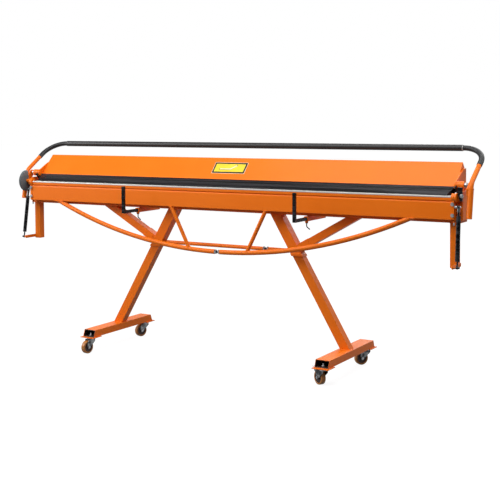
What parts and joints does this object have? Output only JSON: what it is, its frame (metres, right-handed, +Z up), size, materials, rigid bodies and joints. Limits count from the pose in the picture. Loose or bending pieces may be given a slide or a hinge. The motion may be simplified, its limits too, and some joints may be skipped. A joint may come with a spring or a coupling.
{
  "type": "sheet metal bending machine",
  "caption": "Long sheet metal folding machine: lever clamped upper beam, hinged bending beam with bow truss and gas springs, splayed legs on castors.",
  "frame": {"origin": "on the floor under the middle of the machine, midway between the left and right castors", "axes": "+X along the jaw to the right as the operator sees it, the operator stands at -Y, +Z up"},
  "size_m": [2.929, 0.6551, 1.23],
  "materials": {
    "orange_paint": "smooth orange powder coat",
    "black_paint": "satin black paint",
    "ground_steel": "ground bare steel",
    "zinc_plate": "bright zinc plating",
    "chrome_rod": "polished chrome",
    "dial_plastic": "dark grey moulded plastic",
    "foam": "matte black foam rubber",
    "grip_rubber": "ribbed black rubber",
    "label": "bare yellow plate with a dark border",
    "amber_tyre": "amber polyurethane tread",
    "hub_plastic": "dark brown moulded plastic"
  },
  "bodies": {
    "frame": {"lower_beam": "orange_paint", "lower_jaw": "ground_steel", "end_frame_left": "orange_paint", "end_frame_right": "orange_paint", "angle_dial": "dial_plastic", "post_left": "orange_paint", "post_right": "orange_paint", "leg_left": "orange_paint", "leg_right": "orange_paint", "foot_left": "orange_paint", "foot_right": "orange_paint", "tie_bar": "orange_paint", "tie_nuts": "zinc_plate", "support_socket_left": "orange_paint", "support_socket_right": "orange_paint", "castor_bolts": "zinc_plate", "stop_block": "black_paint"},
    "bending_beam": {"bending_beam": "orange_paint", "bending_edge": "ground_steel", "hinge_ear_left": "orange_paint", "hinge_ear_right": "orange_paint", "bow": "orange_paint", "bow_nuts": "zinc_plate", "bow_diagonal_left": "orange_paint", "bow_diagonal_right": "orange_paint", "beam_bolts": "zinc_plate"},
    "clamp_beam": {"clamp_beam": "orange_paint", "clamp_blade": "black_paint", "clamp_bracket_left": "orange_paint", "clamp_bracket_right": "orange_paint", "label_plate": "label"},
    "clamp_lever": {"lever_tube": "orange_paint", "lever_sleeve": "foam", "lever_grip_left": "grip_rubber", "lever_grip_right": "grip_rubber", "lever_arm_left": "orange_paint", "lever_arm_right": "orange_paint", "lever_bolts": "zinc_plate"},
    "spring_cylinder_left": {"spring_cylinder_left": "black_paint"},
    "spring_rod_left": {"spring_rod_left": "chrome_rod"},
    "sheet_support_left": {"sheet_support_left": "black_paint"},
    "lock_lever_left": {"lock_lever_left": "black_paint"},
    "spring_cylinder_right": {"spring_cylinder_right": "black_paint"},
    "spring_rod_right": {"spring_rod_right": "chrome_rod"},
    "sheet_support_right": {"sheet_support_right": "black_paint"},
    "lock_lever_right": {"lock_lever_right": "black_paint"},
    "fork_front_left": {"fork_front_left": "zinc_plate"},
    "wheel_front_left": {"tyre_front_left": "amber_tyre", "hub_front_left": "hub_plastic"},
    "fork_rear_left": {"fork_rear_left": "zinc_plate"},
    "wheel_rear_left": {"tyre_rear_left": "amber_tyre", "hub_rear_left": "hub_plastic"},
    "fork_front_right": {"fork_front_right": "zinc_plate"},
    "wheel_front_right": {"tyre_front_right": "amber_tyre", "hub_front_right": "hub_plastic"},
    "fork_rear_right": {"fork_rear_right": "zinc_plate"},
    "wheel_rear_right": {"tyre_rear_right": "amber_tyre", "hub_rear_right": "hub_plastic"},
    "brake_pedal": {"brake_pedal": "zinc_plate"}
  },
  "joints": [
    {"name": "bending_beam_swing", "type": "hinge", "parent": "frame", "child": "bending_beam", "pos_m": [0, -0.07, 0.985], "axis": [-1, 0, 0], "range_deg": [0, 135]},
    {"name": "clamp_beam_lift", "type": "hinge", "parent": "frame", "child": "clamp_beam", "pos_m": [0, 0.08, 1.005], "axis": [-1, 0, 0], "range_deg": [0, 8]},
    {"name": "clamp_lever_turn", "type": "hinge", "parent": "clamp_beam", "child": "clamp_lever", "pos_m": [0, -0.005, 1.034], "axis": [1, 0, 0], "range_deg": [0, 45]},
    {"name": "spring_swing_left", "type": "hinge", "parent": "bending_beam", "child": "spring_cylinder_left", "pos_m": [-1.402, -0.075, 0.931], "axis": [1, 0, 0], "range_deg": [0, 143]},
    {"name": "spring_slide_left", "type": "slide", "parent": "spring_cylinder_left", "child": "spring_rod_left", "axis": [-0.0201, -0.1372, -0.9903], "range_m": [0, 0.0933]},
    {"name": "support_slide_left", "type": "slide", "parent": "frame", "child": "sheet_support_left", "axis": [0, -1, 0], "range_m": [0, 0.05]},
    {"name": "lock_turn_left", "type": "hinge", "parent": "frame", "child": "lock_lever_left", "pos_m": [-0.558, -0.062, 0.833], "axis": [0, 0, 1], "range_deg": [0, 100]},
    {"name": "spring_swing_right", "type": "hinge", "parent": "bending_beam", "child": "spring_cylinder_right", "pos_m": [1.402, -0.075, 0.931], "axis": [1, 0, 0], "range_deg": [0, 143]},
    {"name": "spring_slide_right", "type": "slide", "parent": "spring_cylinder_right", "child": "spring_rod_right", "axis": [0.0201, -0.1372, -0.9903], "range_m": [0, 0.0933]},
    {"name": "support_slide_right", "type": "slide", "parent": "frame", "child": "sheet_support_right", "axis": [0, -1, 0], "range_m": [0, 0.05]},
    {"name": "lock_turn_right", "type": "hinge", "parent": "frame", "child": "lock_lever_right", "pos_m": [0.558, -0.062, 0.833], "axis": [0, 0, 1], "range_deg": [0, 100]},
    {"name": "swivel_front_left", "type": "hinge", "parent": "frame", "child": "fork_front_left", "pos_m": [-0.757, -0.272, 0.085], "axis": [0, 0, 1], "continuous": true},
    {"name": "roll_front_left", "type": "hinge", "parent": "fork_front_left", "child": "wheel_front_left", "pos_m": [-0.76145, -0.30369, 0.0375], "axis": [0.9903, -0.1392, 0], "continuous": true},
    {"name": "swivel_rear_left", "type": "hinge", "parent": "frame", "child": "fork_rear_left", "pos_m": [-0.757, 0.272, 0.085], "axis": [0, 0, 1], "continuous": true},
    {"name": "roll_rear_left", "type": "hinge", "parent": "fork_rear_left", "child": "wheel_rear_left", "pos_m": [-0.76794, 0.24193, 0.0375], "axis": [0.9397, -0.342, 0], "continuous": true},
    {"name": "swivel_front_right", "type": "hinge", "parent": "frame", "child": "fork_front_right", "pos_m": [0.757, -0.272, 0.085], "axis": [0, 0, 1], "continuous": true},
    {"name": "roll_front_right", "type": "hinge", "parent": "fork_front_right", "child": "wheel_front_right", "pos_m": [0.72929, -0.256, 0.0375], "axis": [-0.5, -0.866, 0], "continuous": true},
    {"name": "swivel_rear_right", "type": "hinge", "parent": "frame", "child": "fork_rear_right", "pos_m": [0.757, 0.272, 0.085], "axis": [0, 0, 1], "continuous": true},
    {"name": "roll_rear_right", "type": "hinge", "parent": "fork_rear_right", "child": "wheel_rear_right", "pos_m": [0.7373, 0.24678, 0.0375], "axis": [0.788, -0.6157, 0], "continuous": true},
    {"name": "pedal_press", "type": "hinge", "parent": "fork_front_right", "child": "brake_pedal", "pos_m": [0.70937, -0.2445, 0.075], "axis": [-0.5, -0.866, 0], "range_deg": [0, 8]}
  ],
  "couplings": [
    {"joint": "clamp_lever_turn", "follows": "clamp_beam_lift", "ratio": 5.625},
    {"joint": "spring_swing_left", "follows": "bending_beam_swing", "ratio": 1.0461},
    {"joint": "spring_slide_left", "follows": "bending_beam_swing", "m_per_rad": 0.039495},
    {"joint": "spring_swing_right", "follows": "bending_beam_swing", "ratio": 1.0461},
    {"joint": "spring_slide_right", "follows": "bending_beam_swing", "m_per_rad": 0.039495}
  ]
}
